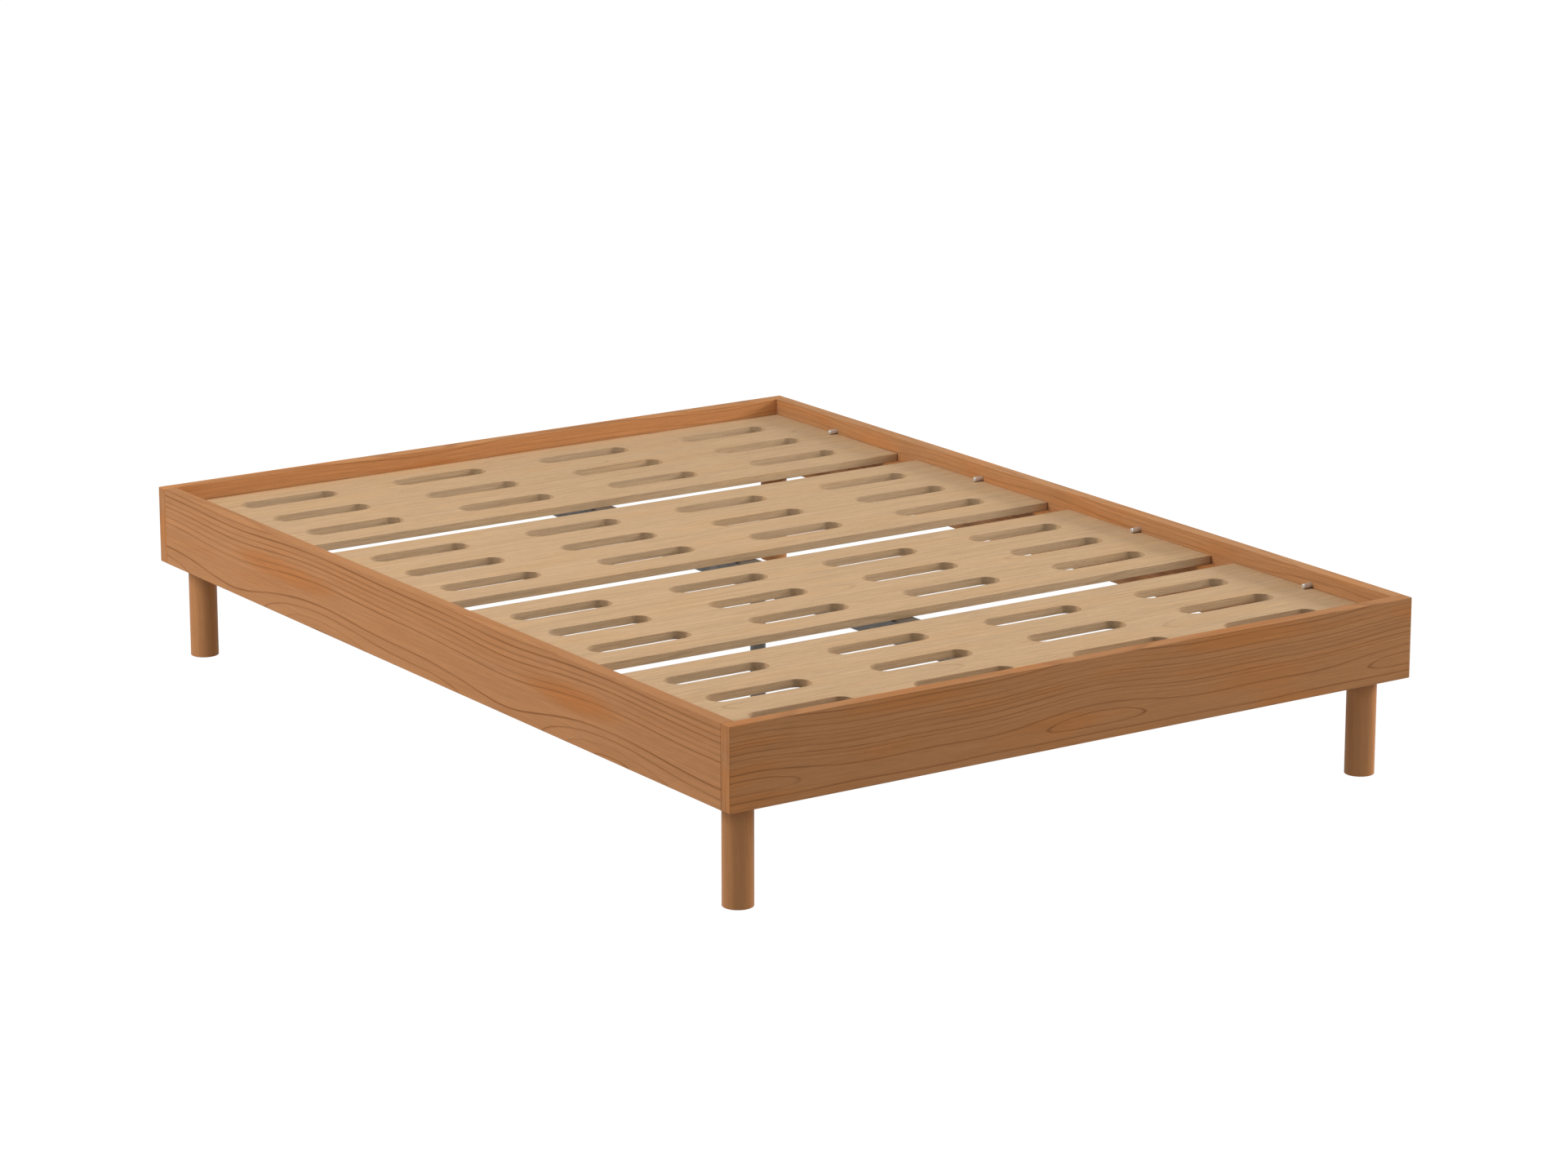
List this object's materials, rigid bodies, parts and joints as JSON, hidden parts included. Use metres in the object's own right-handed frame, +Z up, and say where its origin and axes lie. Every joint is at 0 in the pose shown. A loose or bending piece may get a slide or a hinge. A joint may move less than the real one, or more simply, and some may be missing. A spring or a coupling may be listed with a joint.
{
  "type": "platform bed frame",
  "caption": "Low platform bed frame: boards on edge around slotted deck panels, round wooden legs, a steel centre beam with its own leg, and pins that hold the panels down.",
  "frame": {"origin": "on the floor under the middle of the bed", "axes": "+X across the bed to the right rail as seen from the foot, +Y from the foot end to the head end, +Z up"},
  "size_m": [1.422, 1.955, 0.325],
  "materials": {
    "frame_wood": "satin clear finish over orange-brown hardwood with dark growth lines",
    "leg_wood": "satin turned hardwood",
    "deck_wood": "matt pale sanded board",
    "block_wood": "plain sanded hardwood",
    "dark_steel": "dark grey powder coat",
    "bright_steel": "plain steel",
    "zinc_steel": "zinc plated",
    "nylon": "moulded black nylon"
  },
  "bodies": {
    "bed_frame": {"foot_board": "frame_wood", "beam_bracket_foot": "dark_steel", "beam_bracket_screw_foot_left": "zinc_steel", "corner_block_foot_left": "block_wood", "side_rail_screw_foot_left": "zinc_steel", "end_board_screw_foot_left": "zinc_steel", "leg_foot_left": "leg_wood", "leg_glide_foot_left": "nylon", "leg_stud_foot_left": "zinc_steel", "leg_tee_nut_foot_left": "zinc_steel", "beam_bracket_screw_foot_right": "zinc_steel", "corner_block_foot_right": "block_wood", "side_rail_screw_foot_right": "zinc_steel", "end_board_screw_foot_right": "zinc_steel", "leg_foot_right": "leg_wood", "leg_glide_foot_right": "nylon", "leg_stud_foot_right": "zinc_steel", "leg_tee_nut_foot_right": "zinc_steel", "head_board": "frame_wood", "beam_bracket_head": "dark_steel", "beam_bracket_screw_head_left": "zinc_steel", "corner_block_head_left": "block_wood", "side_rail_screw_head_left": "zinc_steel", "end_board_screw_head_left": "zinc_steel", "leg_head_left": "leg_wood", "leg_glide_head_left": "nylon", "leg_stud_head_left": "zinc_steel", "leg_tee_nut_head_left": "zinc_steel", "beam_bracket_screw_head_right": "zinc_steel", "corner_block_head_right": "block_wood", "side_rail_screw_head_right": "zinc_steel", "end_board_screw_head_right": "zinc_steel", "leg_head_right": "leg_wood", "leg_glide_head_right": "nylon", "leg_stud_head_right": "zinc_steel", "leg_tee_nut_head_right": "zinc_steel", "side_rail_left": "frame_wood", "side_ledge_left": "frame_wood", "side_rail_right": "frame_wood", "side_ledge_right": "frame_wood", "deck_panel_1": "deck_wood", "deck_panel_2": "deck_wood", "deck_panel_3": "deck_wood", "deck_panel_4": "deck_wood", "centre_beam": "dark_steel", "centre_leg": "dark_steel", "centre_leg_bolt_foot": "zinc_steel", "centre_leg_bolt_head": "zinc_steel", "lock_nut": "zinc_steel"},
    "panel_pin_left_1": {"panel_pin_left_1": "bright_steel"},
    "panel_pin_left_2": {"panel_pin_left_2": "bright_steel"},
    "panel_pin_left_3": {"panel_pin_left_3": "bright_steel"},
    "panel_pin_left_4": {"panel_pin_left_4": "bright_steel"},
    "panel_pin_right_1": {"panel_pin_right_1": "bright_steel"},
    "panel_pin_right_2": {"panel_pin_right_2": "bright_steel"},
    "panel_pin_right_3": {"panel_pin_right_3": "bright_steel"},
    "panel_pin_right_4": {"panel_pin_right_4": "bright_steel"},
    "centre_foot": {"levelling_foot": "nylon", "levelling_stem": "zinc_steel"}
  },
  "joints": [
    {"name": "panel_pin_left_1_pull", "type": "slide", "parent": "bed_frame", "child": "panel_pin_left_1", "axis": [1, 0, 0], "range_m": [0, 0.02]},
    {"name": "panel_pin_left_2_pull", "type": "slide", "parent": "bed_frame", "child": "panel_pin_left_2", "axis": [1, 0, 0], "range_m": [0, 0.02]},
    {"name": "panel_pin_left_3_pull", "type": "slide", "parent": "bed_frame", "child": "panel_pin_left_3", "axis": [1, 0, 0], "range_m": [0, 0.02]},
    {"name": "panel_pin_left_4_pull", "type": "slide", "parent": "bed_frame", "child": "panel_pin_left_4", "axis": [1, 0, 0], "range_m": [0, 0.02]},
    {"name": "panel_pin_right_1_pull", "type": "slide", "parent": "bed_frame", "child": "panel_pin_right_1", "axis": [-1, 0, 0], "range_m": [0, 0.02]},
    {"name": "panel_pin_right_2_pull", "type": "slide", "parent": "bed_frame", "child": "panel_pin_right_2", "axis": [-1, 0, 0], "range_m": [0, 0.02]},
    {"name": "panel_pin_right_3_pull", "type": "slide", "parent": "bed_frame", "child": "panel_pin_right_3", "axis": [-1, 0, 0], "range_m": [0, 0.02]},
    {"name": "panel_pin_right_4_pull", "type": "slide", "parent": "bed_frame", "child": "panel_pin_right_4", "axis": [-1, 0, 0], "range_m": [0, 0.02]},
    {"name": "centre_foot_height", "type": "slide", "parent": "bed_frame", "child": "centre_foot", "axis": [0, 0, 1], "range_m": [-0.01, 0.01]}
  ]
}
